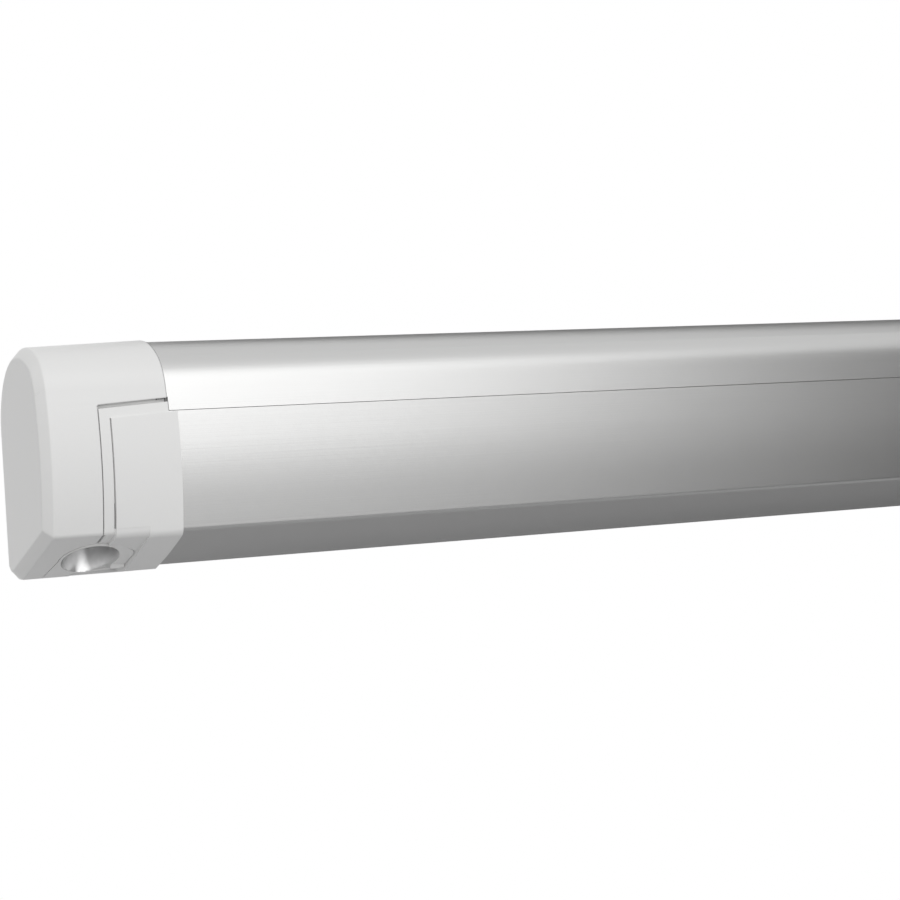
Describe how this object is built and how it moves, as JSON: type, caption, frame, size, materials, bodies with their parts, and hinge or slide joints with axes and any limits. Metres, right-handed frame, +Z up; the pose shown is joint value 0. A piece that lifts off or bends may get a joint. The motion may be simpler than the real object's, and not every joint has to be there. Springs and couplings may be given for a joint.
{
  "type": "roll out awning",
  "caption": "Wall cassette awning with a crank, a sprung pair of folding arms, a lead rail and folding support legs, shown shut.",
  "frame": {"origin": "middle of the wall bracket bolt holes, on the wall's face", "axes": "+X along the cassette to its right end seen from the front, -Y away from the wall, +Z up"},
  "size_m": [2.6, 0.0919, 0.1272],
  "materials": {
    "anodised_aluminium": "satin anodised, fine lengthwise brushing",
    "grey_plastic": "satin moulded",
    "rubber": "matt extruded",
    "bracket_aluminium": "plain extruded",
    "steel": "zinc plated",
    "cast_aluminium": "powder coated casting",
    "dark_plastic": "fine grain moulded",
    "roller_steel": "galvanised",
    "arm_aluminium": "satin anodised",
    "cloth": "coated cloth, matt"
  },
  "bodies": {
    "cassette": {"housing": "anodised_aluminium", "housing_seal": "rubber", "wall_brackets": "bracket_aluminium", "lock_screws": "steel", "end_cap_left": "grey_plastic", "end_cap_right": "grey_plastic", "end_plate_left": "cast_aluminium", "end_plate_right": "cast_aluminium", "plate_screws": "steel", "cap_screws": "steel", "crank_funnel": "grey_plastic", "gearbox_case": "cast_aluminium", "gearbox_cover": "dark_plastic", "roller_bushes": "dark_plastic", "shoulder_bracket_left": "cast_aluminium", "shoulder_bracket_right": "cast_aluminium", "shoulder_pins": "steel", "fabric_run": "cloth"},
    "roller": {"roller_tube": "roller_steel", "worm_wheel": "dark_plastic", "roller_plug_left": "steel", "roller_plug_right": "steel", "fabric_roll": "cloth"},
    "crank": {"worm_shaft": "steel", "crank_eye": "steel"},
    "hem": {"fabric_hem": "cloth"},
    "rail": {"lead_rail": "anodised_aluminium", "rail_cap_left": "grey_plastic", "rail_cap_right": "grey_plastic", "wrist_brackets": "cast_aluminium", "wrist_pins": "steel", "keder_rod": "dark_plastic", "leg_brackets": "cast_aluminium", "leg_pins": "steel"},
    "upper_left": {"upper_arm_left": "arm_aluminium", "shoulder_knuckle_left": "cast_aluminium", "elbow_fork_left": "cast_aluminium", "arm_spring_left": "steel", "elbow_pin_left": "steel"},
    "fore_left": {"forearm_left": "arm_aluminium", "elbow_lug_left": "cast_aluminium", "wrist_lug_left": "cast_aluminium"},
    "leg_left": {"leg_tube_left": "arm_aluminium", "leg_collar_left": "dark_plastic"},
    "slide_left": {"leg_inner_left": "arm_aluminium"},
    "foot_left": {"leg_foot_left": "dark_plastic"},
    "knob_left": {"leg_knob_left": "dark_plastic"},
    "upper_right": {"upper_arm_right": "arm_aluminium", "shoulder_knuckle_right": "cast_aluminium", "elbow_fork_right": "cast_aluminium", "arm_spring_right": "steel", "elbow_pin_right": "steel"},
    "fore_right": {"forearm_right": "arm_aluminium", "elbow_lug_right": "cast_aluminium", "wrist_lug_right": "cast_aluminium"},
    "leg_right": {"leg_tube_right": "arm_aluminium", "leg_collar_right": "dark_plastic"},
    "slide_right": {"leg_inner_right": "arm_aluminium"},
    "foot_right": {"leg_foot_right": "dark_plastic"},
    "knob_right": {"leg_knob_right": "dark_plastic"}
  },
  "joints": [
    {"name": "shoulder_left", "type": "hinge", "parent": "cassette", "child": "upper_left", "pos_m": [-1.19, -0.029, -0.022], "axis": [0, 0.1392, -0.9903], "range_deg": [0, 77]},
    {"name": "elbow_left", "type": "hinge", "parent": "upper_left", "child": "fore_left", "pos_m": [-0.15, -0.05079, -0.02506], "axis": [0, -0.1392, 0.9903], "range_deg": [0, 154.2]},
    {"name": "wrist_left", "type": "hinge", "parent": "fore_left", "child": "rail", "pos_m": [-1.19, -0.07257, -0.02812], "axis": [0, 0.1392, -0.9903], "range_deg": [0, 77.1]},
    {"name": "shoulder_right", "type": "hinge", "parent": "cassette", "child": "upper_right", "pos_m": [1.19, -0.029, -0.022], "axis": [0, -0.1392, 0.9903], "range_deg": [0, 77.1]},
    {"name": "elbow_right", "type": "hinge", "parent": "upper_right", "child": "fore_right", "pos_m": [0.15, -0.05079, -0.02506], "axis": [0, 0.1392, -0.9903], "range_deg": [0, 154.2]},
    {"name": "roller_turn", "type": "hinge", "parent": "cassette", "child": "roller", "pos_m": [0, -0.04178, 0.02422], "axis": [-1, 0, 0], "continuous": true},
    {"name": "crank_turn", "type": "hinge", "parent": "cassette", "child": "crank", "pos_m": [-1.2645, -0.01876, 0.015], "axis": [0, 0.3716, 0.9284], "continuous": true},
    {"name": "hem_slide", "type": "slide", "parent": "cassette", "child": "hem", "axis": [0, -0.9903, -0.1392], "range_m": [0, 1.9946]},
    {"name": "leg_swing_left", "type": "hinge", "parent": "rail", "child": "leg_left", "pos_m": [-1.203, -0.0155, -0.0474], "axis": [0, 1, 0], "range_deg": [0, 100]},
    {"name": "leg_slide_left", "type": "slide", "parent": "leg_left", "child": "slide_left", "axis": [1, 0, 0], "range_m": [0, 0.95]},
    {"name": "foot_fold_left", "type": "hinge", "parent": "slide_left", "child": "foot_left", "pos_m": [-0.0935, -0.0155, -0.0474], "axis": [0, 1, 0], "range_deg": [0, 90]},
    {"name": "knob_turn_left", "type": "hinge", "parent": "leg_left", "child": "knob_left", "pos_m": [-0.123, -0.0155, -0.0379], "axis": [0, 0, 1], "continuous": true},
    {"name": "leg_swing_right", "type": "hinge", "parent": "rail", "child": "leg_right", "pos_m": [1.203, -0.0282, -0.0474], "axis": [0, -1, 0], "range_deg": [0, 100]},
    {"name": "leg_slide_right", "type": "slide", "parent": "leg_right", "child": "slide_right", "axis": [-1, 0, 0], "range_m": [0, 0.95]},
    {"name": "foot_fold_right", "type": "hinge", "parent": "slide_right", "child": "foot_right", "pos_m": [0.0935, -0.0282, -0.0474], "axis": [0, -1, 0], "range_deg": [0, 90]},
    {"name": "knob_turn_right", "type": "hinge", "parent": "leg_right", "child": "knob_right", "pos_m": [0.123, -0.0282, -0.0379], "axis": [0, 0, 1], "continuous": true}
  ],
  "couplings": [
    {"joint": "elbow_left", "follows": "shoulder_left", "ratio": 2},
    {"joint": "wrist_left", "follows": "shoulder_left", "ratio": 1},
    {"joint": "shoulder_right", "follows": "shoulder_left", "ratio": 1},
    {"joint": "elbow_right", "follows": "shoulder_left", "ratio": 2},
    {"joint": "roller_turn", "follows": "shoulder_left", "ratio": 54.069},
    {"joint": "crank_turn", "follows": "shoulder_left", "ratio": 378.49},
    {"joint": "hem_slide", "follows": "shoulder_left", "m_per_rad": 1.4827}
  ]
}
